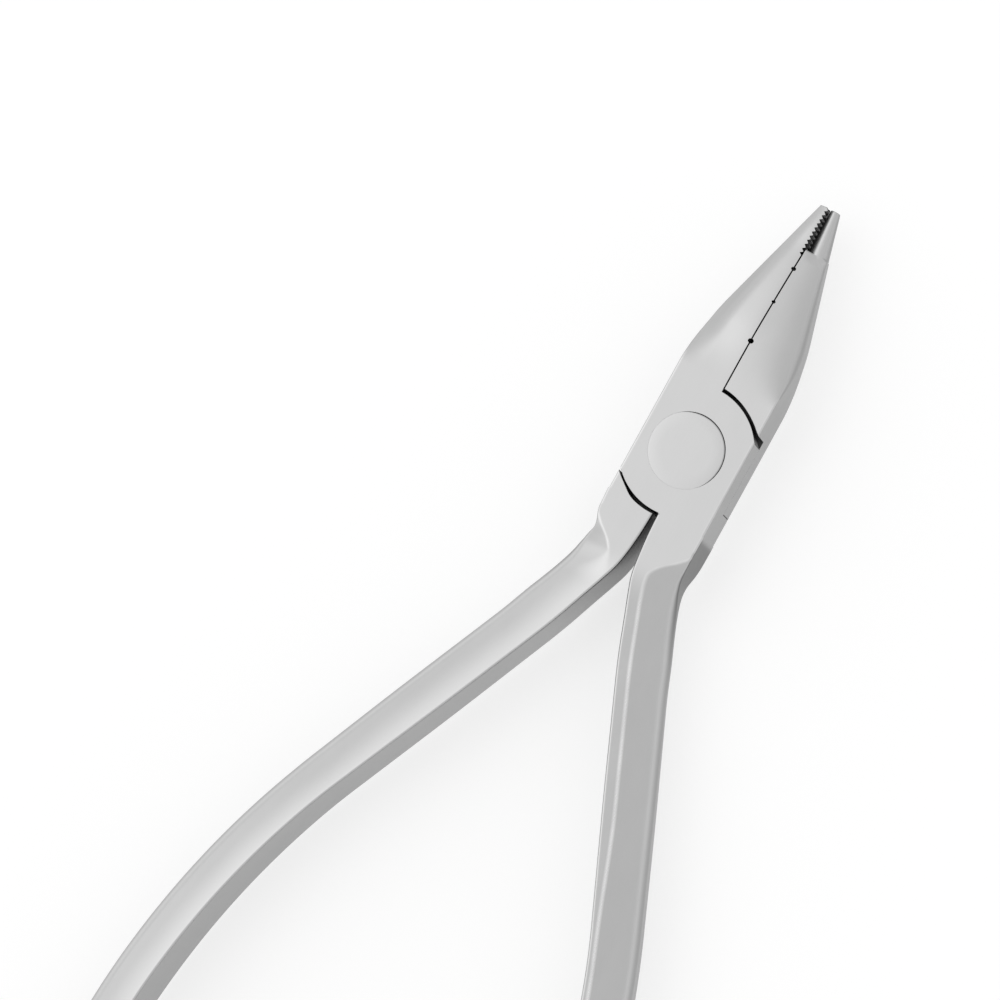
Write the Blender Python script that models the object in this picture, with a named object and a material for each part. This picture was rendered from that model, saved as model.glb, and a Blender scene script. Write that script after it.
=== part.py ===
"""Orthodontic loop-forming pliers: a lap joint, one beak with a serrated tip, one with a round cone tip.

Metres, +Z up. The joint axis is the world Z axis, its rear face is at z = 0, and the beaks point to +Y.
The front half carries the upper joint plate, the left beak and the right handle.
The rear half carries the lower joint plate, the right beak and the left handle.
"""

import math

import bmesh
import bpy
from mathutils import Vector

MM = 0.001

# Joint
axis_shift = 0.35 * MM  # the tool's centre line lies this far right of the pivot
joint_thickness = 7.8 * MM
joint_half_width = 6.05 * MM
plate_radius = 7.6 * MM  # round ends of both joint plates, about the pivot
front_plate_gap = 0.42 * MM  # between the front plate's round ends and the rear half's shoulders
rear_plate_gap = 0.20 * MM
lap_gap = 0.10 * MM  # between the two plates
plate_edge = 0.22 * MM  # broken edge along the plates
edge_middle = 0.29  # place of a broken edge's middle point, as a share of its width

# Pivot screw
head_radius = 4.37 * MM
head_depth = 1.5 * MM
shank_radius = 2.75 * MM
thread_radius = 2.50 * MM
running_gap = 0.06 * MM  # radial, round the head and the shank
thread_gap = 0.03 * MM
head_sink = 0.02 * MM  # the head's face under the plate's face
shank_clearance = 0.02 * MM  # between the shank's end and the lower plate
circle_sides = 64

# Beaks
tip_y = 31.65 * MM
seam_gap = 0.15 * MM
beak_tip_half_width = 1.2051 * MM  # from the tool's centre line to the tapered outer side at the tip
beak_taper = 0.2745  # loss of half width for each unit of length
beak_bend_y = tip_y - (joint_half_width - beak_tip_half_width) / beak_taper  # where it meets the joint's side
beak_bend = 3.3 * MM  # half length of the bend between them
outer_wall_share = 0.25  # height of the flat outer wall against the beak's half thickness
bevel_power = 2.6
round_power = 2.3
beak_form = (8.0 * MM, 15.5 * MM)  # between these the joint's flat section turns into the beak's
tip_share = 0.8  # size of the tip's end face against the section behind it

# Serrated tip of the left beak
tooth_pitch = 0.545 * MM
tooth_depth = 0.32 * MM
tooth_count = 11
tooth_top = 0.16  # flat share of the pitch between two notches
first_tooth = 0.05  # distance of the first notch from the tip, as a share of the pitch

# Cone tip of the right beak
step_y = 26.2 * MM
cone_base_radius = 1.31 * MM
cone_tip_radius = 0.58 * MM
cone_sides = 40
cone_set_in = 0.10 * MM  # from the beak's inner face to the cone's nearest side
cone_root = 1.0 * MM  # how far the cone reaches back into the beak
tip_rounding = 0.12 * MM  # broken edge round both tips

# Cross grooves of the right beak
groove_places = (14.1 * MM, 19.2 * MM, 23.6 * MM)
groove_radii = (0.30 * MM, 0.22 * MM, 0.23 * MM)
groove_sides = 14

# Handles
handle_end_y = -103.0 * MM
straight_end_y = -50.0 * MM
straight_end_x = 18.95 * MM  # centre line of a handle there, from the tool's own centre line
handle_lean = math.radians(24.1)
handle_bow_radius = 102.0 * MM
front_handle_turn = math.radians(0.65)  # the front half's handle lies this much nearer to the centre line
handle_width = 5.35 * MM
grip_width = 5.0 * MM
handle_root_thickness = 7.6 * MM
grip_thickness = 9.6 * MM
handle_end_thickness = 8.2 * MM
inner_corner = 0.35 * MM
strip_width = 1.65 * MM  # narrow strip beside the inner wall, near the root
grip_strip_width = 0.85 * MM
strip_slope = 0.18
face_slope = 0.52  # wide outer face of the handle
outer_radius = 1.5 * MM
outer_radius_share = 0.75  # the most that it takes of the wide face
ridge_ease = 0.12  # rounding of the ridge, as a share of the narrow strip
end_rounding = 2.2 * MM
end_share = 0.45  # size of the handle's end against its section
face_curve = ((0.05, 0.03), (0.35, 0.31), (0.68, 0.65), (1.0, 1.0))  # along the wide face, and its fall
outer_curve = ((0.24, 0.24), (0.06, 0.56), (0.0, 1.0))  # from the outer side, and the fall, over the radius

# Distances from the pivot between which a handle changes
handle_form = (0.5 * MM, 4.0 * MM)  # from the plate's flat section to the handle's
root_thinning = (11.0 * MM, 14.0 * MM)
turn_in = (11.0 * MM, 16.0 * MM)
ridge_growth = (13.0 * MM, 18.0 * MM)
grip_thickening = (16.0 * MM, 62.0 * MM)
root_end = (21.0 * MM, 26.0 * MM)
grip_narrowing = (34.0 * MM, 56.0 * MM)
strip_narrowing = (38.0 * MM, 54.0 * MM)
end_thinning = (78.0 * MM, 104.0 * MM)

# Places of sections that aren't tied to another size
block_places = (9.0 * MM, 8.4 * MM, 8.0 * MM)
root_places = (-8.0 * MM, -10.0 * MM, -18.0 * MM, -26.0 * MM)
root_counts = (4, 22, 7)
beak_count = 26
grip_count = 20
plate_end_step = 0.05 * MM  # next to a plate's end, where a side changes at once

mid_z = joint_thickness / 2
top_z = joint_thickness
clear_height = joint_thickness + grip_thickness  # cutters reach past every face
profile_points = 12  # along the top of a section
arc_steps = 12

# Thickness of a beak along its length
beak_thickness = (
    (0.0, joint_thickness),
    (11.0 * MM, joint_thickness),
    (15.0 * MM, 7.5 * MM),
    (19.2 * MM, 6.3 * MM),
    (23.6 * MM, 4.6 * MM),
    (26.2 * MM, 3.7 * MM),
    (29.0 * MM, 2.6 * MM),
    (tip_y, 1.5 * MM),
)

# Sides of a handle where it leaves the joint, from the tool's centre line
inner_root = (
    (-26.0 * MM, 5.36 * MM),
    (-22.0 * MM, 3.64 * MM),
    (-19.0 * MM, 2.49 * MM),
    (-17.0 * MM, 1.72 * MM),
    (-15.0 * MM, 1.04 * MM),
    (-13.0 * MM, 0.66 * MM),
    (-11.0 * MM, 0.42 * MM),
    (-9.0 * MM, 0.30 * MM),
    (-7.0 * MM, 0.25 * MM),
)
front_outer_root = (
    (-26.0 * MM, 11.28 * MM),
    (-22.0 * MM, 9.52 * MM),
    (-19.0 * MM, 8.20 * MM),
    (-16.0 * MM, 6.97 * MM),
    (-14.0 * MM, 6.22 * MM),
    (-13.0 * MM, 6.02 * MM),
    (-12.2 * MM, 6.02 * MM),
    (-11.4 * MM, joint_half_width),
    (0.0, joint_half_width),
)
rear_outer_root = (
    (-26.0 * MM, 11.28 * MM),
    (-22.0 * MM, 9.52 * MM),
    (-19.0 * MM, 8.20 * MM),
    (-16.0 * MM, 7.02 * MM),
    (-14.0 * MM, 6.28 * MM),
    (-13.0 * MM, 5.85 * MM),
    (-12.2 * MM, 5.50 * MM),
    (-11.6 * MM, 5.52 * MM),
    (-11.0 * MM, 5.72 * MM),
    (-10.2 * MM, 5.98 * MM),
    (-9.4 * MM, joint_half_width),
    (0.0, joint_half_width),
)

# Where the wide outer face of a handle starts, from the tool's centre line
face_start = (
    (-17.0 * MM, 3.50 * MM),
    (-15.0 * MM, 2.75 * MM),
    (-14.0 * MM, 2.70 * MM),
    (-13.0 * MM, 3.30 * MM),
    (-11.5 * MM, 5.00 * MM),
    (-10.4 * MM, joint_half_width),
    (0.0, joint_half_width),
)


def blend(value, start, end):
    """0 before start, 1 after end, and a smooth rise between them."""
    t = min(max((value - start) / (end - start), 0.0), 1.0)
    return t * t * (3 - 2 * t)


def steel(name, grey, roughness):
    material = bpy.data.materials.new(name)
    material.use_nodes = True
    shader = material.node_tree.nodes["Principled BSDF"]
    shader.inputs["Base Color"].default_value = (grey, grey, grey, 1.0)
    shader.inputs["Metallic"].default_value = 1.0
    shader.inputs["Roughness"].default_value = roughness
    return material


def solid(name, build):
    """A mesh object from a function that fills a bmesh."""
    mesh = bpy.data.meshes.new(name)
    work = bmesh.new()
    build(work)
    bmesh.ops.remove_doubles(work, verts=work.verts, dist=1e-7)
    bmesh.ops.recalc_face_normals(work, faces=work.faces)
    work.to_mesh(mesh)
    work.free()
    made = bpy.data.objects.new(name, mesh)
    bpy.context.scene.collection.objects.link(made)
    return made


def loft(name, rings):
    """Closed solid through rings of equal point counts."""

    def build(work):
        loops = [[work.verts.new(point) for point in ring] for ring in rings]
        count = len(loops[0])
        for first, second in zip(loops, loops[1:]):
            for i in range(count):
                j = (i + 1) % count
                work.faces.new((first[i], first[j], second[j], second[i]))
        work.faces.new(loops[0])
        work.faces.new(loops[-1])

    return solid(name, build)


def prism(name, outline, low, high):
    """Upright solid over a plan outline."""
    return loft(name, [[(x, y, z) for x, y in outline] for z in (low, high)])


def post(name, radius, low, high, sides=circle_sides):
    """Round post on the pivot axis."""
    ring = [(radius * math.cos(t), radius * math.sin(t)) for t in (math.tau * i / sides for i in range(sides))]
    return prism(name, ring, low, high)


def combine(target, others, operation):
    """Apply a Boolean with each of the other objects in turn, and remove them."""
    for other in others:
        step = target.modifiers.new(operation.lower(), "BOOLEAN")
        step.operation = operation
        step.solver = "EXACT"
        step.object = other
        graph = bpy.context.evaluated_depsgraph_get()
        made = bpy.data.meshes.new_from_object(target.evaluated_get(graph))
        target.modifiers.clear()
        target.data = made
        bpy.data.objects.remove(other)
    return target


def curve_through(stations, y):
    """Smooth curve through (y, value) stations, in rising order of y."""
    last = len(stations) - 1
    i = 0
    while i < last - 1 and y > stations[i + 1][0]:
        i += 1
    y0, a = stations[i]
    y1, b = stations[i + 1]
    before = stations[max(i - 1, 0)]
    after = stations[min(i + 2, last)]
    run = y1 - y0
    t = min(max((y - y0) / run, 0.0), 1.0)
    leave = (b - before[1]) / (y1 - before[0]) * run
    arrive = (after[1] - a) / (after[0] - y0) * run
    return a + leave * t + (3 * (b - a) - 2 * leave - arrive) * t**2 + (leave + arrive - 2 * (b - a)) * t**3


def beak_half_width(y):
    """From the tool's centre line to the outer side: straight, a bend, then the taper."""
    along = (y - beak_bend_y) / beak_bend
    rise = max(along + 1, 0) ** 2 / 4 if along < 1 else along
    return joint_half_width - beak_taper * beak_bend * rise


def beak_half_thickness(y):
    """Full at the joint, then falling in a round curve to the tip."""
    return curve_through(beak_thickness, y) / 2


def plate_profile(near, far, half):
    """Flat top with broken edges. A profile's points run from the near side to the far side."""
    run = far - near - 2 * plate_edge
    flat = [(near + plate_edge + run * i / 7, half) for i in range(8)]
    inset = plate_edge * edge_middle
    start = [(near, half - plate_edge), (near + inset, half - inset)]
    end = [(far - inset, half - inset), (far, half - plate_edge)]
    return start + flat + end


def beak_profile(near, far, half, creased):
    """Outer side first: a flat wall, a curved bevel over the top, and a sharp edge at the seam."""
    wall = half * outer_wall_share
    top = []
    for i in range(profile_points):
        share = math.cos(math.pi / 2 * i / (profile_points - 1))
        if creased:
            height = 1 - share**bevel_power
        else:
            height = max(1 - share**round_power, 0.0) ** (1 / round_power)
        top.append((far - (far - near) * share, wall + (half - wall) * height))
    return top


def handle_profile(near, far, half, y):
    """Inner wall first: its corner, a narrow strip, the ridge, a wide sloped face and the round outer side."""
    grown = blend(-y, *ridge_growth)
    strip = strip_width + (grip_strip_width - strip_width) * blend(-y, *strip_narrowing)
    edge = plate_edge + (inner_corner - plate_edge) * grown
    ridge = curve_through(face_start, y) * (1 - grown) + (near + strip) * grown
    ridge = min(ridge, far - plate_edge)
    fall = strip_slope * grown * (ridge - near - edge)
    depth = min(outer_radius, (far - ridge) * outer_radius_share)
    run = far - depth / 2 - ridge
    top = half - fall
    low = top - face_slope * run
    ease = (ridge - near) * ridge_ease
    strip_points = [
        (near, half - edge),
        (near + edge * edge_middle, half - edge * edge_middle),
        (near + edge, half),
        ((near + edge + ridge - ease) / 2, (half + top) / 2),
        (ridge - ease, top),
    ]
    face_points = [(ridge + run * along, top + (low - top) * fallen) for along, fallen in face_curve]
    outer_points = [(far - depth * inset, low - depth * fallen) for inset, fallen in outer_curve]
    return strip_points + face_points + outer_points


def mixed(first, second, share):
    return [(a + (c - a) * share, b + (d - b) * share) for (a, b), (c, d) in zip(first, second)]


def handle_centre(y):
    """Distance of a handle's centre line from the tool's centre line, and its lean there."""
    if y >= straight_end_y:
        return straight_end_x - (y - straight_end_y) * math.tan(handle_lean), handle_lean
    lean = math.asin(math.sin(handle_lean) - (straight_end_y - y) / handle_bow_radius)
    return straight_end_x + handle_bow_radius * (math.cos(lean) - math.cos(handle_lean)), lean


def handle_sides(y, side):
    """Inner and outer side of a handle, from the tool's centre line. side is 1 for the front half."""
    centre, lean = handle_centre(y)
    across = handle_width + (grip_width - handle_width) * blend(-y, *grip_narrowing)
    half = across / 2 / math.cos(lean)
    merge = blend(-y, *root_end)
    outer_root = front_outer_root if side > 0 else rear_outer_root
    drawn_in = -y * math.tan(front_handle_turn) * blend(-y, *turn_in) if side > 0 else 0.0
    inner = curve_through(inner_root, y) * (1 - merge) + (centre - half) * merge
    outer = curve_through(outer_root, y) * (1 - merge) + (centre + half) * merge
    return inner - drawn_in, outer - drawn_in


def handle_half_thickness(y):
    joint = joint_thickness / 2
    root = joint + (handle_root_thickness / 2 - joint) * blend(-y, *root_thinning)
    half = root + (grip_thickness / 2 - root) * blend(-y, *grip_thickening)
    return half + (handle_end_thickness / 2 - half) * blend(-y, *end_thinning)


def half_sides(y, side):
    """Near and far side of one half, from the tool's centre line and counted towards its handle."""
    middle = -side * axis_shift
    round_reach = math.sqrt(max(plate_radius**2 - y**2, 0.0))
    if y >= 0:
        near = -beak_half_width(y)
        far = min(joint_half_width, middle + round_reach) if y <= plate_radius else -seam_gap / 2
        return near, max(far, -seam_gap / 2)
    inner, outer = handle_sides(y, side)
    near = max(-joint_half_width, middle - round_reach) if y >= -plate_radius else inner
    return min(near, inner), outer


def section(y, side, creased):
    """Ring of points round one half at y. side is 1 where its handle is on the right."""
    near, far = half_sides(y, side)
    if y >= 0:
        half = beak_half_thickness(y)
        flat = plate_profile(near, far, half)
        upper = mixed(flat, beak_profile(near, far, half, creased), blend(y, *beak_form))
    else:
        half = handle_half_thickness(y)
        flat = plate_profile(near, far, half)
        upper = mixed(flat, handle_profile(near, far, half, y), blend(-y, *handle_form))
    around = upper + [(u, -z) for u, z in reversed(upper)]
    return [(axis_shift + side * u, y, mid_z + z) for u, z in around]


def shrunk(ring, share):
    """The same ring, drawn in about its middle."""
    middle = sum((Vector(point) for point in ring), Vector()) / len(ring)
    return [tuple(middle + (Vector(point) - middle) * share) for point in ring]


def spread(start, end, count):
    return [start + (end - start) * i / count for i in range(count)]


def stations(side, beak_end):
    """Places of the sections along one half, closer where its sides turn."""
    side_turn = math.acos(min((joint_half_width - axis_shift) / plate_radius, 1.0))
    turns = [side_turn + (math.pi / 2 - side_turn) * i / arc_steps for i in range(arc_steps + 1)]
    arc_places = [plate_radius * math.sin(turn) for turn in turns]
    other_turn = math.acos(min((joint_half_width + axis_shift) / plate_radius, 1.0))
    arc_places.append(plate_radius * math.sin(other_turn))
    places = spread(beak_end, block_places[0], beak_count) + list(block_places)
    places += [plate_radius + plate_end_step] + arc_places + [0.0]
    places += [-place for place in arc_places] + [-plate_radius - plate_end_step]
    for start, end, count in zip(root_places, root_places[1:], root_counts):
        places += spread(start, end, count)
    places += spread(root_places[-1], handle_end_y + end_rounding, grip_count) + [handle_end_y + end_rounding]
    return sorted(set(places), reverse=True)


def blank(name, side, creased, beak_end):
    """One forged half before its joint is cut: beak, full joint block and handle in one loft."""
    rings = [section(y, side, creased) for y in stations(side, beak_end)]
    if beak_end == tip_y:
        rings[0] = shrunk(rings[0], tip_share)
        rings.insert(1, section(tip_y - tip_rounding, side, creased))
    start = handle_end_y + end_rounding
    turns = 4
    for i in range(1, turns + 1):
        turn = math.pi / 2 * i / (turns + 0.6)
        y = start - end_rounding * math.sin(turn)
        rings.append(shrunk(section(y, side, creased), 1 - (1 - end_share) * (1 - math.cos(turn))))
    return loft(name, rings)


def joint_cutter(name, front):
    """The other half's plate and its clearance."""
    if front:
        return post(name, plate_radius + rear_plate_gap, -clear_height, mid_z + lap_gap / 2)
    return post(name, plate_radius + front_plate_gap, mid_z - lap_gap / 2, clear_height)


def finish(piece, material):
    """Material, shading and name of a finished piece."""
    piece.data.materials.clear()
    piece.data.materials.append(material)
    piece.data.shade_smooth()
    piece.data.set_sharp_from_angle(angle=math.radians(32))
    return piece


def front_half(material):
    """Upper plate, serrated left beak and right handle."""
    body = blank("front_half", 1, True, tip_y)
    cutters = [joint_cutter("rear_plate_room", True)]
    cutters.append(post("shank_hole", shank_radius + running_gap, -clear_height, clear_height))
    cutters.append(post("head_room", head_radius + running_gap, top_z - head_depth, clear_height))
    cutters.append(teeth_cutter("teeth"))
    combine(body, cutters, "DIFFERENCE")
    return finish(body, material)


def teeth_cutter(name):
    """Comb of notches across the inner face of the left beak."""
    face = axis_shift - seam_gap / 2
    back = face + 2 * seam_gap
    half = tooth_pitch * (1 - tooth_top) / 2
    outline = [(back, tip_y + tooth_pitch)]
    for i in range(tooth_count + 1):
        middle = tip_y - tooth_pitch * (i + first_tooth)
        outline += [(face, middle + half), (face - tooth_depth, middle)]
    outline += [(face, middle - half), (back, middle - half)]
    return prism(name, outline, -clear_height, clear_height)


def cone_tip(name):
    """Round tapered pin whose inner side runs along the right beak's inner face."""
    slope = (cone_base_radius - cone_tip_radius) / (tip_y - step_y)
    stops = [(step_y - cone_root, cone_base_radius), (step_y, cone_base_radius)]
    stops.append((tip_y - tip_rounding, cone_tip_radius + slope * tip_rounding))
    stops.append((tip_y, cone_tip_radius - tip_rounding))
    inner = axis_shift + seam_gap / 2 + cone_set_in
    rings = []
    for y, radius in stops:
        reach = cone_base_radius - slope * max(y - step_y, 0)
        turns = [math.tau * i / cone_sides for i in range(cone_sides)]
        rings.append([(inner + reach + radius * math.cos(t), y, mid_z + radius * math.sin(t)) for t in turns])
    return loft(name, rings)


def groove_cutter(name, y, radius):
    """Round groove across the right beak's inner face."""
    turns = [math.tau * i / groove_sides for i in range(groove_sides)]
    face = axis_shift + seam_gap / 2
    ring = [(face + radius * math.cos(t), y + radius * math.sin(t)) for t in turns]
    return prism(name, ring, -clear_height, clear_height)


def rear_half(material):
    """Lower plate, right beak with cone tip and grooves, and left handle."""
    body = blank("rear_half", -1, False, step_y)
    combine(body, [cone_tip("cone")], "UNION")
    cutters = [joint_cutter("front_plate_room", False)]
    cutters.append(post("thread_hole", thread_radius + thread_gap, -clear_height, clear_height))
    for i, (y, radius) in enumerate(zip(groove_places, groove_radii)):
        cutters.append(groove_cutter(f"groove_{i}", y, radius))
    combine(body, cutters, "DIFFERENCE")
    return finish(body, material)


def pivot_screw(material):
    """Flush head in the front plate, shank, and threaded end flush with the rear face."""
    shoulder = mid_z - lap_gap / 2 + shank_clearance
    screw = post("pivot_screw", head_radius, top_z - head_depth + running_gap, top_z - head_sink)
    shank = post("shank", shank_radius, shoulder, top_z - head_depth / 2)
    thread = post("thread", thread_radius, 0.0, top_z - head_depth)
    combine(screw, [shank, thread], "UNION")
    return finish(screw, material)


def main():
    for old in list(bpy.data.objects):
        bpy.data.objects.remove(old)
    front_half(steel("front_half_steel", 0.62, 0.36))
    rear_half(steel("rear_half_steel", 0.62, 0.36))
    pivot_screw(steel("pivot_steel", 0.64, 0.32))


main()
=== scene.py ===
import math

import bpy
import numpy as np
from mathutils import Matrix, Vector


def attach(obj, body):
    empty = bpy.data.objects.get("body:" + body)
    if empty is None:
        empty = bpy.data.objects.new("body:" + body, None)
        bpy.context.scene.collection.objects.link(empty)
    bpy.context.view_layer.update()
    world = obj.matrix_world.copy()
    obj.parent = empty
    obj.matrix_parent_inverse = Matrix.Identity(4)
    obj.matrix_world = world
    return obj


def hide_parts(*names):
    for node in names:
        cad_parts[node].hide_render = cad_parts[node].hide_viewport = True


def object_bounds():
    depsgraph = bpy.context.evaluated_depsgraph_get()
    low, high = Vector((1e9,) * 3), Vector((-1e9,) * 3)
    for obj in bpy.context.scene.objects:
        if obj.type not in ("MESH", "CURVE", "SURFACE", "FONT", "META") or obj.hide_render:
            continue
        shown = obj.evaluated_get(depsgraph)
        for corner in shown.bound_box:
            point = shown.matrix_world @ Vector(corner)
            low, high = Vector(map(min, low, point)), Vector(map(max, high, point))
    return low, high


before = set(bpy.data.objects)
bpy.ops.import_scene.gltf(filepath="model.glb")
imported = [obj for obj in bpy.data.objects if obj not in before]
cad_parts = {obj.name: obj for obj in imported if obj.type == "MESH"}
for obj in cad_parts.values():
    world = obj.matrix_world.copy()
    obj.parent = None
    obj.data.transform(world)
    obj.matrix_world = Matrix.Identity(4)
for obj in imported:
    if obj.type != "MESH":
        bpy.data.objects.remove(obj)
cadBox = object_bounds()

# Orthodontic loop-forming pliers in satin stainless steel: two forged halves and a flush pivot screw.
# Lengths are millimetres in the dictionaries and become metres when a mesh is made.
# side is 1 for the front half (left beak, right handle) and -1 for the rear half (right beak, left handle).
# u is counted from the tool's centre line towards the half's own handle, w from the middle plane to its own plate.

millimetre = 0.001
print("frame loaded:", sorted(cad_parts))


# Small helpers for whole arrays

def smoothStep(value, start, end):       # 0 before start, 1 after end, t t (3 - 2 t) between
    t = np.clip((value - start) / (end - start), 0.0, 1.0)
    return t * t * (3 - 2 * t)


# Hermite curve through (y, value) knots in rising order of y, with slopes from the neighbouring knots
def smoothCurve(y, knots):
    ky, kv = np.array(knots, float).T
    slopes = np.gradient(kv, ky)
    i = np.clip(np.searchsorted(ky, y) - 1, 0, len(ky) - 2)
    run = ky[i + 1] - ky[i]
    t = np.clip((y - ky[i]) / run, 0.0, 1.0)
    a, b = kv[i], kv[i + 1]
    leave, arrive = slopes[i] * run, slopes[i + 1] * run
    return a + leave * t + (3 * (b - a) - 2 * leave - arrive) * t**2 + (leave + arrive - 2 * (b - a)) * t**3


# The lower of two heights. Where they differ by less than width, (width - difference)^2 / (4 width) comes off.
def softMin(a, b, width):
    h = np.maximum(width - np.abs(a - b), 0.0)
    return np.minimum(a, b) - h * h / (4 * width)


# Fall of a quarter-round edge at a distance from the side: radius - sqrt(radius^2 - (radius - distance)^2)
def edgeFall(distance, radius):
    left = np.clip(radius - distance, 0.0, radius)
    return radius - np.sqrt(np.maximum(radius**2 - left**2, 0.0))


# Distance that draws a painted highlight line with only a share of its strength: width - share x (width - distance)
def faintEdge(distance, share):
    return highlightLine["width"] - share * (highlightLine["width"] - distance)


# Steepness of the surface over a grid: the length of its unit normal's level part
def steepness(grid):
    along = np.gradient(grid, axis=0)
    around = np.roll(grid, -1, 1) - np.roll(grid, 1, 1)
    normal = np.cross(along, around)
    return np.hypot(normal[..., 0], normal[..., 1]) / np.maximum(np.linalg.norm(normal, axis=-1), 1e-12)


# Closed surface over rows (rings) and columns (round the piece), with a flat face at each end.
# marks holds a value for each grid point, stored at the face corners under its name.
def meshFromGrid(name, grid, marks):
    rows, columns = grid.shape[:2]
    r, c = np.meshgrid(np.arange(rows - 1), np.arange(columns), indexing="ij")
    after = (c + 1) % columns
    quads = np.stack([r * columns + c, r * columns + after, (r + 1) * columns + after, (r + 1) * columns + c], -1)
    faces = quads.reshape(-1, 4).tolist()
    faces.append(list(range(columns))[::-1])
    faces.append([(rows - 1) * columns + k for k in range(columns)])
    mesh = bpy.data.meshes.new(name)
    mesh.from_pydata(grid.reshape(-1, 3) * millimetre, [], faces)
    mesh.validate()
    turnOutwards(mesh)
    corner = np.zeros(len(mesh.loops), np.int32)
    mesh.loops.foreach_get("vertex_index", corner)
    for key in ("paintedShade", "steepShade", "fromEdge"):
        values = np.broadcast_to(np.asarray(marks[key], float), (rows, columns)).reshape(-1)
        mesh.attributes.new(key, "FLOAT", "CORNER").data.foreach_set("value", values[corner])
    piece = bpy.data.objects.new(name, mesh)
    bpy.context.scene.collection.objects.link(piece)
    return piece


# Flip every face of a closed mesh if its signed volume, the sum of a . (b x c) over the triangles, is negative
def turnOutwards(mesh):
    mesh.calc_loop_triangles()
    triangles = np.zeros(len(mesh.loop_triangles) * 3, np.int32)
    mesh.loop_triangles.foreach_get("vertices", triangles)
    points = np.zeros(len(mesh.vertices) * 3)
    mesh.vertices.foreach_get("co", points)
    a, b, c = np.moveaxis(points.reshape(-1, 3)[triangles.reshape(-1, 3)], 1, 0)
    if np.einsum("ij,ij->i", a, np.cross(b, c)).sum() < 0:
        mesh.flip_normals()


# Sizes shared by both halves. The gaps and broken edges are the picture's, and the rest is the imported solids'.

joint = {
    "axisShift": 0.35,
    "thickness": 7.8,
    "halfWidth": 6.05,
    "plateRadius": 7.6,
    # Between the front plate's round ends and the rear half's shoulders, by bearing from +X: a worn, open lower end
    # at the beak's shoulder, and a wider stretch at the handle's
    "frontPlateGap": ((-180, 0.24), (-140, 0.24), (-122, 0.25), (-113, 0.42), (-100, 0.40), (-91, 0.36),
                      (-80, 0.36), (28, 0.74), (36, 0.68), (42, 0.46), (48, 0.41), (80, 0.40), (92, 0.44),
                      (180, 0.24)),
    "rearPlateGap": ((-180, 0.07), (0, 0.07), (180, 0.07)),
    "lapGap": 0.03,
    "edge": 0.22,
    "rimBevel": 0.03,
    "seamGap": 0.15,
    "stepPlace": 7.9,        # where the blank widens from the beak to the whole joint, outside the round plate end
    "farStretch": (0.1, 0.95),   # the shares of the top over which its points move on to the far side
}
screw = {
    "headRadius": 4.37,
    "headDepth": 1.5,
    "shankRadius": 2.75,
    "threadRadius": 2.50,
    "runningGap": 0.06,
    "rimGap": 0.008,         # round the head, drawn tighter than the running gap
    "threadGap": 0.03,
    "sink": 0.004,
    "edge": (0.004, 0.24),   # of the head, where its seam is closed and where it is open
    # painted shade at the foot of the head's rounded edge, fading to none at its top
    "edgeShade": 0.62,
    "edgeSteps": 7,
    "darkBearing": math.radians(42),   # towards this side the head's seam is open and painted dark as shade
    "darkSpread": (-0.1, 0.75),        # the cosines from that bearing over which it opens
    "litShare": 0.93,        # of the painted shade, which a closed seam loses
    "endEdge": 0.05,         # broken edge at the threaded end
    "centre": 0.02,          # radius of the flat left at each end's middle
    "shoulderRise": 0.02,
    "segments": 256,
}
midZ = joint["thickness"] / 2
blockHalf = joint["thickness"] / 2
section = {
    "topPoints": 72,
    "wallPoints": 6,
}
highlightLine = {
    "width": 0.28,           # half the width of a painted highlight line along an edge
    "inset": 0.1,            # from a piece's side to the line's middle
    "faint": 0.25,           # the share of its strength on all edges but the front handle's ridge
    "none": 2.0,             # a distance that draws no line
}


# Shares across a section's top, closer together at both sides: (1 - cos) / 2
def acrossShares():
    return (1 - np.cos(np.linspace(0, math.pi, section["topPoints"])))[None, :] / 2


# Beaks

beak = {
    "tipY": 31.65,
    "tipRounding": 0.14,
    "taper": 0.2745,
    "bendY": 14.0,
    "bend": 3.3,
    "form": (8.5, 15.0),     # the joint's flat section turns into the beak's between these
    "innerFall": (0.03, 0.20),   # of the left beak from the seam outwards, shares of its width
    "crease": 0.66,          # the share of the width where the left beak's outer bevel starts
    "creaseSoft": 0.5,
    "leftWall": 0.38,        # height of the outer wall against the half thickness
    "rightWall": 0.25,
    "roundPower": 3.0,
    "roundTilt": 0.02,
    "seamEdge": 0.03,
    "sideEdge": (10, 15, 0.8),   # the broken edge shrinks between these by this share
    "highlightEnd": (9.5, 13),    # the painted highlight along the side fades out between these
    "half": ((0, 3.9), (11, 3.9), (15, 3.75), (19.2, 3.15), (23.6, 2.3), (26.2, 1.75), (29, 1.3), (31.65, 0.75)),
}
cone = {
    "stepY": 26.2,
    "baseRadius": 1.31,
    "tipRadius": 0.58,
    "setIn": 0.02,
    "rows": 24,
    "stepFade": (0.2, 0.55),     # the shares of the base's width over which the step runs out
    "fadeLength": 1.2,
    "fadeAbove": 0.1,        # only on the rings' upper half, from here above the middle plane
    "paintedShade": 0.85,          # painted shade of the side that faces the other beak, from these cosines on
    "shadeFrom": (0.15, 0.5),
}
teeth = {
    "pitch": 0.545,
    "depth": 0.32,
    "count": 11,
    "first": 0.05,           # the first notch's middle behind the tip, in pitches
    "top": 0.16,             # the share of the pitch that stays flat
    "web": 0.25,             # left at the rear surface; its notch floors are painted dark as shade
    "overlap": 0.01,         # how far the cutter stands out of the inner face, and its back and its front
    "back": 0.3,
    "ahead": 0.5,
}
grooves = {
    "places": (14.1, 19.2, 23.6),
    "radii": (0.29, 0.17, 0.23),
    "otherShare": 0.85,      # of the radius, in the left beak
    "segments": 32,
}


def beakHalfWidth(y):        # the joint's straight side, a parabolic bend, then a straight taper to the tip
    along = (y - beak["bendY"]) / beak["bend"]
    rise = np.where(along < 1, np.maximum(along + 1, 0) ** 2 / 4, along)
    return joint["halfWidth"] - beak["taper"] * beak["bend"] * rise


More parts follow.
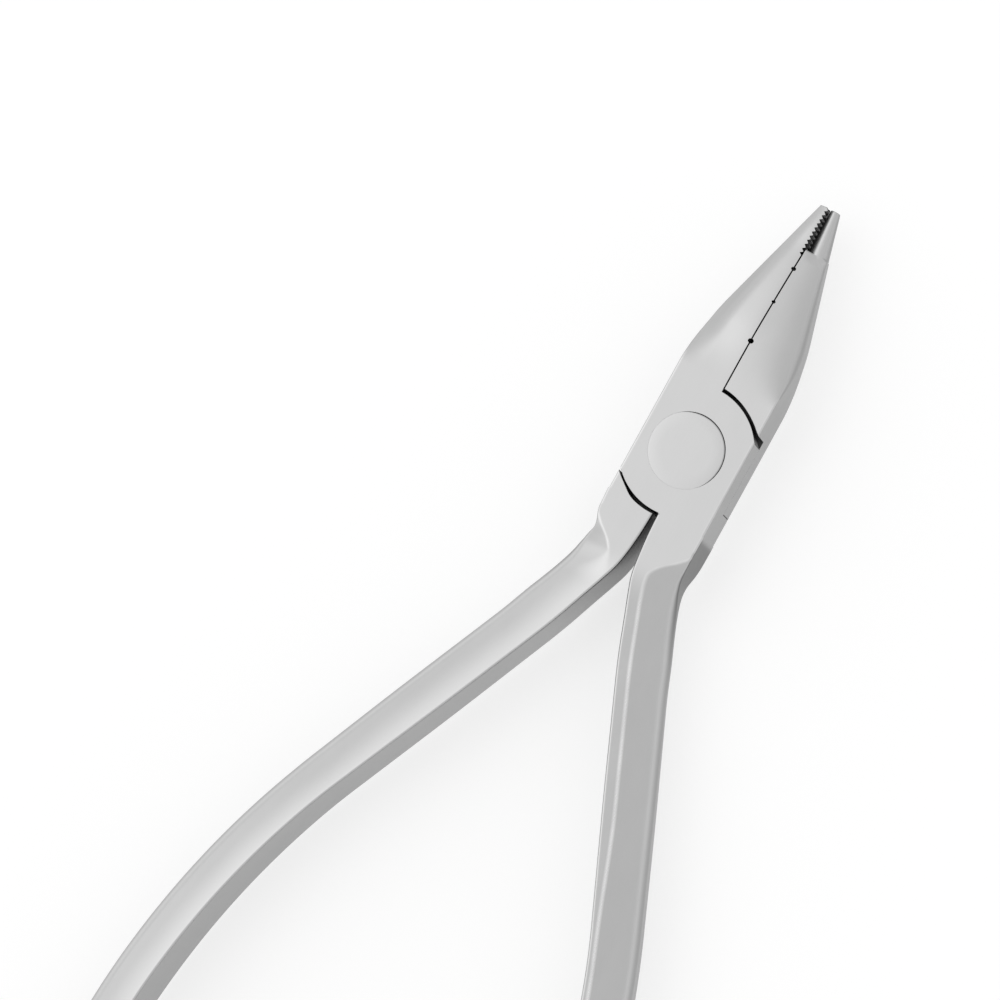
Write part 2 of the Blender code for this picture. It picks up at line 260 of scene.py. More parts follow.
# Top of a beak (u, w) from the outer side, where s is 1, to the seam, where it is 0. Left: a gentle inner face,
# (first s + second s^2) x width down from the crown, then a straight bevel to the wall.
# Right: wall + (crown - tilt x width x s - wall) x (1 - s^p)^(1/p).
def beakTop(y, side):
    width = beakHalfWidth(y)[:, None]
    t = acrossShares()
    s = 1 - t
    seam = -joint["seamGap"] / 2
    u = -width + (seam + width) * t
    crown = smoothCurve(y, beak["half"])[:, None]
    wall = crown * (beak["leftWall"] if side > 0 else beak["rightWall"])
    if side > 0:
        first, second = beak["innerFall"]
        inner = crown - width * (first * s + second * s**2)
        turn = beak["crease"]
        atTurn = crown - width * (first * turn + second * turn**2)
        bevel = atTurn - (atTurn - wall) * (s - turn) / (1 - turn)
        formed = softMin(inner, bevel, beak["creaseSoft"])
    else:
        power = beak["roundPower"]
        drop = np.maximum(1 - s**power, 0.0) ** (1 / power)
        formed = wall + (crown - beak["roundTilt"] * width * s - wall) * drop
    share = smoothStep(y, *beak["form"])[:, None]
    height = blockHalf * (1 - share) + formed * share
    start, end, loss = beak["sideEdge"]
    radius = joint["edge"] * (1 - loss * smoothStep(y, start, end)[:, None])
    height = height - edgeFall(u + width, radius) - edgeFall(seam - u, beak["seamEdge"])
    # A painted highlight line along the outer side
    fromEdge = faintEdge(np.abs(u + width - highlightLine["inset"]), highlightLine["faint"])
    return u, height, fromEdge + smoothStep(y, *beak["highlightEnd"])[:, None]


# Top of the joint block, with both edges broken. Its points start as the beak's do and stretch on to the far side.
def blockTop(y):
    width, seam = joint["halfWidth"], -joint["seamGap"] / 2
    t = acrossShares() + 0 * y[:, None]
    u = -width + (seam + width) * t + (width - seam) * smoothStep(t, *joint["farStretch"])
    height = blockHalf - edgeFall(u + width, joint["edge"]) - edgeFall(width - u, joint["edge"])
    # Painted highlight lines along both sides
    fromSide = np.minimum(np.abs(u + width - highlightLine["inset"]), np.abs(width - u - highlightLine["inset"]))
    return u, height, faintEdge(fromSide, highlightLine["faint"])


# Handles. A pair of places is counted behind the pivot, and a change runs from the first to the second.

handle = {
    "endY": -103.0,
    "straightEndY": -50.0,
    "straightEndX": 18.95,
    "lean": math.radians(24.1),
    "bowRadius": 102.0,
    "frontTurn": math.radians(0.65),   # the front half's handle lies this much nearer to the centre line
    "width": 5.35,
    "gripWidth": 5.0,
    "rootThickness": 7.6,
    "gripThickness": 9.6,
    "endThickness": 8.2,
    "innerCorner": 0.35,
    "strip": 1.65,
    "gripStrip": 0.85,
    "stripSlope": 0.18,
    "faceSlope": 0.52,
    "outerRadius": 1.2,
    "ridgeSoft": 0.07,       # a height: the planes are blended where they differ by less
    "ridgeSoftRear": 0.7,
    "endRounding": 2.2,
    "gripPlaces": (34, 56),      # narrows to the grip
    "rootPlaces": (21, 26),      # the root's tables give way to the centre line
    "turnPlaces": (11, 16),      # the front handle is drawn in
    "thinPlaces": (11, 14),
    "thickPlaces": (16, 62),
    "endPlaces": (78, 104),
    "facePlaces": (13, 18),      # the ridge settles at the strip's width
    "slopePlaces": (10, 16),     # from half the face's slope to the whole
    "stripPlaces": (38, 54),
    "roundPlaces": (11.5, 17),   # the outer edge rounds off
    "softPlaces": (13.3, 17),    # the rear handle's ridge softens
    "ridgeLine": (0.05, 0.04),   # the ridge's painted highlight line: how far inwards it lies, and half its flat middle
    "ridgeLeast": 0.3,           # its strength at the root, which grows to 1
    "ridgePlaces": (13, 19),
    "ridgeFade": 1.2,            # a distance that hides it where the rear handle's ridge is soft
    "sideHighlightPlaces": (9.5, 11),
    "innerRoot": ((-26, 5.36), (-22, 3.64), (-19, 2.49), (-17, 1.72), (-15, 1.04), (-13, 0.66), (-11, 0.42),
                  (-9, 0.30), (-7, 0.25)),
    "frontOuterRoot": ((-26, 11.28), (-22, 9.52), (-19, 8.20), (-16, 6.97), (-14, 6.22), (-13, 6.02), (-12.2, 6.02),
                       (-11.4, 6.05), (0, 6.05)),
    "rearOuterRoot": ((-26, 11.28), (-22, 9.52), (-19, 8.20), (-16, 7.02), (-14, 6.28), (-13, 5.85), (-12.2, 5.50),
                      (-11.6, 5.52), (-11, 5.72), (-10.2, 5.98), (-9.4, 6.05), (0, 6.05)),
    "faceStart": ((-17, 3.50), (-15, 2.75), (-14, 2.70), (-13, 3.30), (-11.5, 5.00), (-10.4, 6.05), (0, 6.05)),
}


def handleCentre(y):         # straight at the lean angle, then a circular bow inwards
    sine = math.sin(handle["lean"]) - np.maximum(handle["straightEndY"] - y, 0.0) / handle["bowRadius"]
    lean = np.arcsin(sine)
    straight = handle["straightEndX"] - (y - handle["straightEndY"]) * math.tan(handle["lean"])
    bowed = handle["straightEndX"] + handle["bowRadius"] * (np.cos(lean) - math.cos(handle["lean"]))
    return np.where(y >= handle["straightEndY"], straight, bowed), lean


def handleSides(y, side):    # u of the inner and the outer wall
    centre, lean = handleCentre(y)
    across = handle["width"] + (handle["gripWidth"] - handle["width"]) * smoothStep(-y, *handle["gripPlaces"])
    half = across / 2 / np.cos(lean)
    merge = smoothStep(-y, *handle["rootPlaces"])
    outerRoot = handle["frontOuterRoot"] if side > 0 else handle["rearOuterRoot"]
    turned = math.tan(handle["frontTurn"]) if side > 0 else 0.0
    drawnIn = -y * turned * smoothStep(-y, *handle["turnPlaces"])
    inner = smoothCurve(y, handle["innerRoot"]) * (1 - merge) + (centre - half) * merge
    outer = smoothCurve(y, outerRoot) * (1 - merge) + (centre + half) * merge
    return inner - drawnIn, outer - drawnIn


def handleHalfThickness(y):
    root = blockHalf + (handle["rootThickness"] / 2 - blockHalf) * smoothStep(-y, *handle["thinPlaces"])
    half = root + (handle["gripThickness"] / 2 - root) * smoothStep(-y, *handle["thickPlaces"])
    return half + (handle["endThickness"] / 2 - half) * smoothStep(-y, *handle["endPlaces"])


# Top of a handle (u, w) from the inner wall outwards: the lower of a narrow strip and a wide sloped face,
# which meet at the ridge, with a quarter-round edge at each side
def handleTop(y, side):
    inner, outer = (edge[:, None] for edge in handleSides(y, side))
    half = handleHalfThickness(y)[:, None]
    grown = smoothStep(-y, *handle["facePlaces"])[:, None]
    narrowed = smoothStep(-y, *handle["stripPlaces"])
    width = (handle["strip"] + (handle["gripStrip"] - handle["strip"]) * narrowed)[:, None]
    ridge = smoothCurve(y, handle["faceStart"])[:, None] * (1 - grown) + (inner + width) * grown
    u = inner + (outer - inner) * acrossShares()
    slope = handle["stripSlope"] * grown
    strip = half - slope * (u - inner)
    faceSlope = handle["faceSlope"] * (0.5 + 0.5 * smoothStep(-y, *handle["slopePlaces"]))[:, None]
    face = half - slope * (ridge - inner) - faceSlope * (u - ridge)
    away = smoothStep(-y, *handle["softPlaces"])[:, None] if side < 0 else 0 * half
    soft = handle["ridgeSoft"] + (handle["ridgeSoftRear"] - handle["ridgeSoft"]) * away
    top = softMin(strip, face, soft)
    rounded = smoothStep(-y, *handle["roundPlaces"])[:, None]
    outerRadius = joint["edge"] + (handle["outerRadius"] - joint["edge"]) * rounded
    innerRadius = joint["edge"] + (handle["innerCorner"] - joint["edge"]) * grown
    height = top - edgeFall(outer - u, outerRadius) - edgeFall(u - inner, innerRadius)
    share = highlightLine["faint"]
    if side > 0:
        share = handle["ridgeLeast"] + (1 - handle["ridgeLeast"]) * smoothStep(-y, *handle["ridgePlaces"])[:, None]
    inwards, flat = handle["ridgeLine"]
    # Painted highlight lines along the ridge and along the outer side
    ridgeHighlight = faintEdge(np.maximum(np.abs(u - ridge + inwards) - flat, 0), share) + handle["ridgeFade"] * away
    sideHighlight = faintEdge(np.abs(outer - u - highlightLine["inset"]), highlightLine["faint"])
    sideHighlight = sideHighlight + smoothStep(-y, *handle["sideHighlightPlaces"])[:, None]
    return u, height, np.minimum(ridgeHighlight, sideHighlight)


# Whole rings from a section's top: walls to the middle plane at both sides, the mirrored lower half,
# x = shift + side u and z = middle + side w
def ringsFrom(y, top, side):
    u, height, fromEdge = top
    rise = np.linspace(0, 1, section["wallPoints"] + 1)[None, :]
    plain = highlightLine["none"] + 0 * rise + 0 * u[:, :1]
    nearWall = np.stack([u[:, :1] + 0 * rise, height[:, :1] * rise, plain], -1)
    farWall = np.stack([u[:, -1:] + 0 * rise, height[:, -1:] * (1 - rise), plain], -1)
    half = np.concatenate([nearWall[:, :-1], np.stack([u, height, fromEdge], -1), farWall[:, 1:]], 1)
    lower = half[:, ::-1] * np.array([1, -1, 1])
    around = np.concatenate([half, lower[:, 1:-1]], 1)
    x = joint["axisShift"] + side * around[..., 0]
    z = midZ + side * around[..., 1]
    return np.stack([x, y[:, None] + 0 * x, z], -1), around[..., 2]


def shrinkRing(ring, share, y):          # drawn in about its own middle, at another place along the tool
    middle = ring.mean(0)
    out = middle + (ring - middle) * share
    out[:, 1] = y
    return out


# Where the rings stand along Y, and how many
stations = {
    "beakMiddle": (16, 56, 60),  # the place between the two runs of rings, and their counts
    "stepHalf": 0.05,            # half the length of the blank's steps
    "block": (7, 8),             # rings from this far ahead of the pivot to as far behind it
    "blockEnd": -7.61,
    "handleStart": -7.63,
    "root": (-9, 8),             # the place and the count of rings up to it, and the same for the scoop
    "scoop": (-22, 120),
    "handleCount": 120,
    "tipCount": 6,
    "tipShrink": 0.2,
    "endCount": 12,
    "endShrink": 0.5,
}
# Painted shade: along the seam, in the crotch and on steep sides
shade = {
    "seamShade": 0.9,
    "crotchPlaces": (10, 26),
    "crotchStart": (7.7, 8.5),
    "crotchShare": 0.8,
    "steepBeak": (0.5, 0.62),    # the steepness where the painted shade starts, on the left and the right beak
    "steepHandle": 0.7,
    "steepPlaces": (0, 8),
    "steepRange": (0.725, 0.65),     # it is full at least + first - second x least
}


def ringPlaces(side):        # the beak's, the block's and the handle's rings along Y
    middle, tipCount, blockCount = stations["beakMiddle"]
    beakEnd = beak["tipY"] - beak["tipRounding"] if side > 0 else cone["stepY"]
    beakStart = joint["stepPlace"] + stations["stepHalf"]
    beakY = np.concatenate([np.linspace(beakEnd, middle, tipCount), np.linspace(middle, beakStart, blockCount)[1:]])
    reach, count = stations["block"]
    blockStart = joint["stepPlace"] - stations["stepHalf"]
    blockY = np.concatenate([[blockStart], np.linspace(reach, -reach, count), [stations["blockEnd"]]])
    root, rootCount = stations["root"]
    scoop, scoopCount = stations["scoop"]
    handleEnd = handle["endY"] + handle["endRounding"]
    handleY = np.concatenate([np.linspace(stations["handleStart"], root, rootCount)[:-1],
                              np.linspace(root, scoop, scoopCount)[:-1],
                              np.linspace(scoop, handleEnd, stations["handleCount"])])
    return beakY, blockY, handleY


# The handle's rounded end: rings that shrink over a quarter turn and follow the bow
def handleEndRings(last, side):
    handleEnd = handle["endY"] + handle["endRounding"]
    drift = handleCentre(np.array([handleEnd, handle["endY"]]))[0]
    end = []
    for t in np.linspace(0, math.pi / 2, stations["endCount"])[1:-1]:
        share = 1 - stations["endShrink"] * (1 - math.cos(t))
        ring = shrinkRing(last, share, handleEnd - handle["endRounding"] * math.sin(t))
        ring[:, 0] += side * (drift[1] - drift[0]) * math.sin(t)
        end.append(ring)
    return np.stack(end)


# The left beak's rounded tip
def beakTipRings(first):
    tip = []
    for t in np.linspace(math.pi / 2, 0, stations["tipCount"])[:-1]:
        share = 1 - stations["tipShrink"] * (1 - math.cos(t))
        tip.append(shrinkRing(first, share, beak["tipY"] - beak["tipRounding"] + beak["tipRounding"] * math.sin(t)))
    return np.stack(tip)


# One forged half before its joint is cut: rings along Y through beak, joint block and handle
def halfSurface(name, side):
    beakY, blockY, handleY = ringPlaces(side)
    parts = [ringsFrom(beakY, beakTop(beakY, side), side), ringsFrom(blockY, blockTop(blockY), side),
             ringsFrom(handleY, handleTop(handleY, side), side)]
    beakRings, handleRings = parts[0][0], parts[2][0]
    columns = beakRings.shape[1]
    if side > 0:
        tip = beakTipRings(beakRings[0])
    else:
        tip, tipShade = coneRings(beakRings[0])
        # Away from the seam the top of the body runs smoothly into the cone's base circle
        inner = joint["axisShift"] + joint["seamGap"] / 2
        outwards = smoothStep((tip[-1, :, 0] - inner) / (2 * cone["baseRadius"]), *cone["stepFade"])
        share = (1 - smoothStep(cone["stepY"] - beakY, 0, cone["fadeLength"]))[:, None] * outwards
        beakRings[..., 2] += (tip[-1, :, 2] - beakRings[..., 2]) * share * (tip[-1, :, 2] > midZ + cone["fadeAbove"])
    end = handleEndRings(handleRings[-1], side)
    grid = np.concatenate([tip] + [part[0] for part in parts] + [end])
    plainTip, plainEnd = (np.full(rings.shape[:2], highlightLine["none"]) for rings in (tip, end))
    fromEdge = np.concatenate([plainTip] + [part[1] for part in parts] + [plainEnd])
    # The seam's walls see no light, so they get painted shade: every column of the far wall along the beak is marked
    # with it
    seamColumn = np.zeros(columns)
    topEnd = section["wallPoints"] + section["topPoints"]
    seamColumn[topEnd:columns - topEnd + 1] = shade["seamShade"]
    paintedShade = np.zeros(grid.shape[:2])
    paintedShade[:len(tip) + len(beakY)] = seamColumn
    if side < 0:
        paintedShade[:len(tip)] = tipShade
    # Painted shade by steepness, more in the crotch
    y = grid[..., 1]
    nearCrotch = (1 - smoothStep(-y, *shade["crotchPlaces"])) * smoothStep(-y, *shade["crotchStart"])
    least = shade["steepBeak"][0 if side > 0 else 1]
    least = least + (shade["steepHandle"] - least) * smoothStep(-y, *shade["steepPlaces"])
    first, second = shade["steepRange"]
    steepShade = smoothStep((steepness(grid) - least) / (first - second * least), 0, 1)
    steepShade = steepShade * (1 + shade["crotchShare"] * nearCrotch)
    return meshFromGrid(name, grid, {"paintedShade": paintedShade, "steepShade": steepShade, "fromEdge": fromEdge})


# Circles from the rounded tip back to the step, each point on the same bearing as the beak's own ring.
# The side that faces the other beak gets painted shade.
def coneRings(stepRing):
    inner = joint["axisShift"] + joint["seamGap"] / 2 + cone["setIn"]
    y = np.linspace(beak["tipY"] - beak["tipRounding"], cone["stepY"], cone["rows"])
    slope = (cone["baseRadius"] - cone["tipRadius"]) / (beak["tipY"] - cone["stepY"])
    radius = cone["tipRadius"] + slope * (beak["tipY"] - y)
    turns = np.linspace(math.pi / 2, 0, stations["tipCount"])[:-1]
    roundY = beak["tipY"] - beak["tipRounding"] * (1 - np.sin(turns))
    roundRadius = radius[0] - beak["tipRounding"] * (1 - np.cos(turns))
    y = np.concatenate([roundY, y])
    centre = inner + np.concatenate([np.full(len(turns), radius[0]), radius])
    radius = np.concatenate([roundRadius, radius])
    baseCentre = np.array([inner + cone["baseRadius"], midZ])
    bearing = np.arctan2(stepRing[:, 2] - baseCentre[1], stepRing[:, 0] - baseCentre[0])
    x = centre[:, None] + radius[:, None] * np.cos(bearing)
    z = midZ + radius[:, None] * np.sin(bearing)
    paintedShade = cone["paintedShade"] * smoothStep(-np.cos(bearing), *cone["shadeFrom"])
    return np.stack([x, y[:, None] + 0 * x, z], -1), np.broadcast_to(paintedShade, x.shape)


# Cutters for the joint

# Cut walls get full painted shade, as they lie in the joint's slits, notches and holes
cutMarks = {"paintedShade": 1.0, "steepShade": 1.0, "fromEdge": highlightLine["none"]}
openMarks = {"paintedShade": 0.0, "steepShade": 0.0, "fromEdge": highlightLine["none"]}
cutting = {
    "past": 3.0,             # how far a cutter goes beyond the faces
    "reach": 16.0,           # and beyond the sides
    "farY": 8.6,
    "startBearing": math.radians(25),
    "arcPoints": 72,
    "handleClear": 0.25,     # from the centre line, beside the plate's round end
    "seamOverlap": 0.005,
}


# Apply a Boolean difference and remove the cutter
def cutOff(piece, cutter):
    step = piece.modifiers.new("cut", "BOOLEAN")
    step.operation = "DIFFERENCE"
    step.solver = "EXACT"
    step.object = cutter
    graph = bpy.context.evaluated_depsgraph_get()
    made = bpy.data.meshes.new_from_object(piece.evaluated_get(graph))
    piece.modifiers.clear()
    old = piece.data
    piece.data = made
    made.name = piece.name
    bpy.data.meshes.remove(old)
    bpy.data.objects.remove(cutter)


def openSeam(turn):          # 1 on the bearings where the screw head's seam is open and painted dark as shade, 0 where it is closed
    return smoothStep(np.cos(turn - screw["darkBearing"]), *screw["darkSpread"])


# A circle of each radius at each height, on the pivot axis
def turnedPiece(name, radii, heights, marks=cutMarks):
    turn = np.linspace(0, 2 * math.pi, screw["segments"], endpoint=False)
    radii, heights = (np.stack([value + 0 * turn for value in values]) for values in (radii, heights))
    grid = np.stack([radii * np.cos(turn), radii * np.sin(turn), heights], -1)
    marks = {key: value if np.ndim(value) == 0 else np.asarray(value)[:, None] for key, value in marks.items()}
    # The painted shade stays where the head's seam is open and mostly goes where it is closed
    closed = 1 - screw["litShare"] * (1 - openSeam(turn))
    return meshFromGrid(name, grid, {**marks, "paintedShade": marks["paintedShade"] * closed})


def prismCutter(name, outline, low=-cutting["past"], high=2 * midZ + cutting["past"]):     # over an outline in plan
    ends = [np.column_stack([outline, np.zeros(len(outline)) + z]) for z in (low, high)]
    return meshFromGrid(name, np.stack(ends), cutMarks)


# What lies outside a plate's round end. Its inner side flares at both faces, which breaks the rim's edges.
def plateEndCutter(name, side, beakEnd):
    bevel, past, top = joint["rimBevel"], cutting["past"], 2 * midZ
    start, reach, farY = cutting["startBearing"], cutting["reach"], cutting["farY"]
    heights = (-past, 0, bevel, top - bevel, top, top + past)
    radii = joint["plateRadius"] - np.array([bevel + past, bevel, 0, 0, bevel, bevel + past])
    if beakEnd:
        along = side * joint["axisShift"] - (joint["seamGap"] / 2 - cutting["seamOverlap"])
        flip = np.array([side, 1])
    else:
        along = -side * joint["axisShift"] - cutting["handleClear"]
        flip = np.array([-side, -1])
    far = np.array([[along, farY], [reach, farY], [reach, reach * math.tan(start)]])
    grid = []
    for z, radius in zip(heights, radii):
        turn = np.linspace(start, math.acos(along / radius), cutting["arcPoints"])
        arc = radius * np.stack([np.cos(turn), np.sin(turn)], -1)
        outline = np.concatenate([arc, far]) * flip
        grid.append(np.column_stack([outline, np.full(len(outline), z)]))
    # The rim wall's upright middle gets painted shade, its flared bevels none
    return meshFromGrid(name, np.stack(grid), {**cutMarks, "paintedShade": np.array([0, 0, 1, 1, 0, 0])[:, None]})


# Where the other half's plate turns, wider at the outer face, which breaks the shoulder's edge
def otherPlateRoom(name, side):
    turn = np.linspace(0, 2 * math.pi, screw["segments"], endpoint=False)
    bearing = (np.degrees(turn) + 180) % 360 - 180
    gap = joint["rearPlateGap"] if side > 0 else joint["frontPlateGap"]
    radius = joint["plateRadius"] + smoothCurve(bearing, gap)
    lap = midZ + side * joint["lapGap"] / 2
    face = midZ - side * blockHalf
    bevel, past = joint["rimBevel"], cutting["past"]
    heights = np.array([lap, face + side * bevel, face, face - side * past])[:, None] + 0 * turn
    radius = radius + np.array([0, 0, bevel, bevel + past])[:, None]
    # The room's upright wall gets painted shade, which fades out over the bevel
    marks = {**cutMarks, "paintedShade": np.array([1, 1, 0, 0])[:, None]}
    return meshFromGrid(name, np.stack([radius * np.cos(turn), radius * np.sin(turn), heights], -1), marks)


# Comb of notches: a saw line along the left beak's inner face, through in Z but for a thin web at the rear, which
# closes them and, like all cut walls, is painted dark as shade
def teethCutter(name):
    face = joint["axisShift"] - joint["seamGap"] / 2
    half = teeth["pitch"] * (1 - teeth["top"]) / 2
    middle = beak["tipY"] - teeth["pitch"] * (np.arange(teeth["count"] + 1) + teeth["first"])
    edge = face + teeth["overlap"]
    rise = np.stack([np.full(len(middle), edge), middle + half], -1)
    notch = np.stack([np.full(len(middle), face - teeth["depth"]), middle], -1)
    saw = np.stack([rise, notch], 1).reshape(-1, 2)
    back, start = face + teeth["back"], middle[-1] - half
    outline = np.concatenate([[[back, beak["tipY"] + teeth["ahead"]]], saw, [[edge, start], [back, start]]])
    low = midZ - smoothCurve(outline[:, 1], beak["half"]) + teeth["web"]
    return prismCutter(name, outline, low)


def grooveCutter(name, y, radius, side):     # an upright round bar in a beak's inner face
    turn = np.linspace(0, 2 * math.pi, grooves["segments"], endpoint=False)
    face = joint["axisShift"] - side * joint["seamGap"] / 2
    return prismCutter(name, np.stack([face + radius * np.cos(turn), y + radius * np.sin(turn)], -1))


shading = {
    "sharpAngle": math.radians(28),
    "normalWeight": 60,
}


def shadePiece(piece):
    piece.data.shade_smooth()
    piece.data.set_sharp_from_angle(angle=shading["sharpAngle"])
    weighted = piece.modifiers.new("even normals", "WEIGHTED_NORMAL")
    weighted.keep_sharp = True
    weighted.weight = shading["normalWeight"]


def makeFrontHalf():
    piece = halfSurface("frontHalfForged", 1)
    top = 2 * midZ
    past = cutting["past"]
    hole = screw["headRadius"] + screw["rimGap"]
    shank = screw["shankRadius"] + screw["runningGap"]
    cutters = [plateEndCutter("cutBeakSide", 1, True), plateEndCutter("cutHandleSide", 1, False),
               otherPlateRoom("cutRoom", 1),
               turnedPiece("cutHead", [hole, hole], [top - screw["headDepth"], top + past]),
               turnedPiece("cutShank", [shank, shank], [-past, top + past]), teethCutter("cutTeeth")]
    cutters += [grooveCutter("cutGroove", y, radius * grooves["otherShare"], 1)
                for y, radius in zip(grooves["places"], grooves["radii"])]
    for cutter in cutters:
        cutOff(piece, cutter)
    shadePiece(piece)
    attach(piece, "front")
    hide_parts("front_half")
    print("front half:", len(piece.data.polygons), "faces")
    return piece


def makeRearHalf():
    piece = halfSurface("rearHalfForged", -1)
    hole = screw["threadRadius"] + screw["threadGap"]
    cutters = [plateEndCutter("cutBeakSide", -1, True), plateEndCutter("cutHandleSide", -1, False),
               otherPlateRoom("cutRoom", -1),
               turnedPiece("cutThread", [hole, hole], [-cutting["past"], 2 * midZ])]
    cutters += [grooveCutter("cutGroove", y, radius, -1)
                for y, radius in zip(grooves["places"], grooves["radii"])]
    for cutter in cutters:
        cutOff(piece, cutter)
    shadePiece(piece)
    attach(piece, "rear")
    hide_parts("rear_half")
    print("rear half:", len(piece.data.polygons), "faces")
    return piece


# A turned piece: radius against height, with a quarter-round edge at the head and a broken one at the threaded end
def makePivotScrew():
    top = 2 * midZ - screw["sink"]
    turn = np.linspace(0, 2 * math.pi, screw["segments"], endpoint=False)
    closedEdge, openEdge = screw["edge"]
    edge = closedEdge + (openEdge - closedEdge) * openSeam(turn)
    head, shank, thread = screw["headRadius"], screw["shankRadius"], screw["threadRadius"]
    centre, chamfer = screw["centre"], screw["endEdge"]
    under = 2 * midZ - screw["headDepth"] + screw["runningGap"]
    shoulder = midZ - joint["lapGap"] / 2 + screw["shoulderRise"]
    stops = [(centre, 0.0), (thread * 0.6, 0.0), (thread - chamfer, 0.0), (thread, chamfer), (thread, shoulder),
             (shank, shoulder), (shank, under), (head, under)]
    # Painted shade on the shank and under the head, fading up the head's rounded edge, and none on the ends and the
    # top
    paintedShade = [0.0] * 3 + [1.0] * 5
    for t in np.linspace(0, math.pi / 2, screw["edgeSteps"]):
        stops.append((head - edge * (1 - math.cos(t)), top - edge * (1 - math.sin(t))))
        paintedShade.append(screw["edgeShade"] * math.cos(t))
    stops += [(head * 0.66, top), (head * 0.33, top), (centre, top)]
    paintedShade += [0.0] * 3
    radii, heights = zip(*stops)
    piece = turnedPiece("pivotScrewTurned", radii, heights, {**openMarks, "paintedShade": paintedShade})
    shadePiece(piece)
    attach(piece, "rear")
    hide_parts("pivot_screw")
    print("pivot screw:", len(piece.data.polygons), "faces")
    return piece


# Materials

class Socket:                # wraps an output socket, so that shader maths is written as plain expressions
    def __init__(self, tree, output):
        self.tree, self.output = tree, output

    def maths(self, operation, *others):
        return self.tree.add("ShaderNodeMath", {"operation": operation}, self, *others)

    def __add__(self, other):
        return self.maths("ADD", other)

    def __radd__(self, other):
        return self.maths("ADD", other)

    def __mul__(self, other):
        return self.maths("MULTIPLY", other)

    def __rmul__(self, other):
        return self.maths("MULTIPLY", other)

    def __sub__(self, other):
        return self.maths("SUBTRACT", other)

    def __rsub__(self, other):
        return self.tree.add("ShaderNodeMath", {"operation": "SUBTRACT"}, other, self)

    def __truediv__(self, other):
        return self.maths("DIVIDE", other)

    def __pow__(self, other):
        return self.maths("POWER", other)


class Tree:                  # a node tree and the one method that adds a node to it
    def __init__(self, owner):
        owner.use_nodes = True
        self.nodes, self.links = owner.node_tree.nodes, owner.node_tree.links
        self.nodes.clear()

    def add(self, kind, settings=None, *values, output=0, **named):
        node = self.nodes.new(kind)
        for key, value in (settings or {}).items():
            setattr(node, key, value)
        for key, value in list(enumerate(values)) + list(named.items()):
            socket = node.inputs[key.replace("_", " ") if isinstance(key, str) else key]
            if isinstance(value, Socket):
                self.links.new(value.output, socket)
            else:
                socket.default_value = value
        return Socket(self, node.outputs[output]) if node.outputs else None


steel = {
    "grey": 0.645,
    "roughness": 0.34,
    "grain": 0.05,
    "cloud": 0.03,
    "shadeGrey": 0.12,      # painted shade: the grey of the walls within the joint and along the seam
    "shadeRough": 0.2,
    "steepShare": 0.46,      # how much darker the upright sides are painted than the faces, as shade
    "edgeLift": 0.34,        # how much lighter the painted highlight line along the edges is
    "edgeSheen": 0.08,       # how much smoother it is
    "edgePatches": (0.6, 0.8),   # its strength is the first + the second x the clouding
    "brushScale": (9000.0, 500.0, 9000.0),
    "brushRough": 0.10,
    "brushBump": (0.12, 0.00002),
    "cloudScale": (420.0, 160.0, 420.0),
    "cloudRough": 0.06,
    "screwGrey": 1.01,       # the pivot screw's grey against the halves'
    "screwRough": 0.02,
}


# Satin stainless steel: fine brushing along Y, faint clouding, painted shade on the sides and in the slits, and
# painted highlight lines along the edges, which are also smoother.
# Grey = (satin x (1 - share x side shade) + lift x highlight) x (1 - painted shade) + shade grey x painted shade.
def satinSteel(name, grey, roughness):
    material = bpy.data.materials.new(name)
    tree = Tree(material)
    place = tree.add("ShaderNodeTexCoord", output=3)
    paintedShade = tree.add("ShaderNodeAttribute", {"attribute_name": "paintedShade"}, output=2)
    steepShade = tree.add("ShaderNodeAttribute", {"attribute_name": "steepShade"}, output=2)
    fromEdge = tree.add("ShaderNodeAttribute", {"attribute_name": "fromEdge"}, output=2)
    fine = tree.add("ShaderNodeMapping", {}, Vector=place, Scale=steel["brushScale"])
    brush = tree.add("ShaderNodeTexNoise", {}, Vector=fine, Scale=1.0, Detail=3.0, Roughness=0.6)
    coarse = tree.add("ShaderNodeMapping", {}, Vector=place, Scale=steel["cloudScale"])
    cloud = tree.add("ShaderNodeTexNoise", {}, Vector=coarse, Scale=1.0, Detail=2.0, Roughness=0.5)
    least, patchy = steel["edgePatches"]
    # Painted highlight: a lighter colour along the edges and the front handle's ridge
    highlight = (1 - fromEdge / highlightLine["width"]).maths("MAXIMUM", 0.0) * (least + cloud * patchy)
    satin = grey * (1 + (brush - 0.5) * steel["grain"] + (cloud - 0.5) * steel["cloud"] * 2)
    lit = satin * (1 - steepShade * steel["steepShare"]) + highlight * steel["edgeLift"]
    # Where the painted shade mark is set, the colour goes to the painted shade grey
    level = lit * (1 - paintedShade) + paintedShade * steel["shadeGrey"]
    colour = tree.add("ShaderNodeCombineColor", {}, level, level, level)
    rough = roughness + (brush - 0.5) * steel["brushRough"] + (cloud - 0.5) * steel["cloudRough"]
    rough = rough - highlight * steel["edgeSheen"] + paintedShade * steel["shadeRough"]
    strength, depth = steel["brushBump"]
    bump = tree.add("ShaderNodeBump", {}, Strength=strength, Distance=depth, Height=brush)
    shader = tree.add("ShaderNodeBsdfPrincipled", {}, Metallic=1.0, Base_Color=colour, Roughness=rough,
                      Normal=bump)
    tree.add("ShaderNodeOutputMaterial", {}, shader)
    return material


# Camera, light and floor

camera = {
    "aim": (-15.853, -14.677),   # the point in the joint's front plane at the picture's middle
    "tiltX": 13.467,             # degrees from the joint's axis towards +X
    "tiltY": -2.385,
    "roll": 28.942,              # degrees that the tool's long axis leans to the right in the picture
    "distance": 509.8,
    "scale": 8.972,              # pixels for each millimetre in the front plane
    "pictureSize": 1000,
    "sensor": 36.0,
    "clip": (0.01, 20),
}


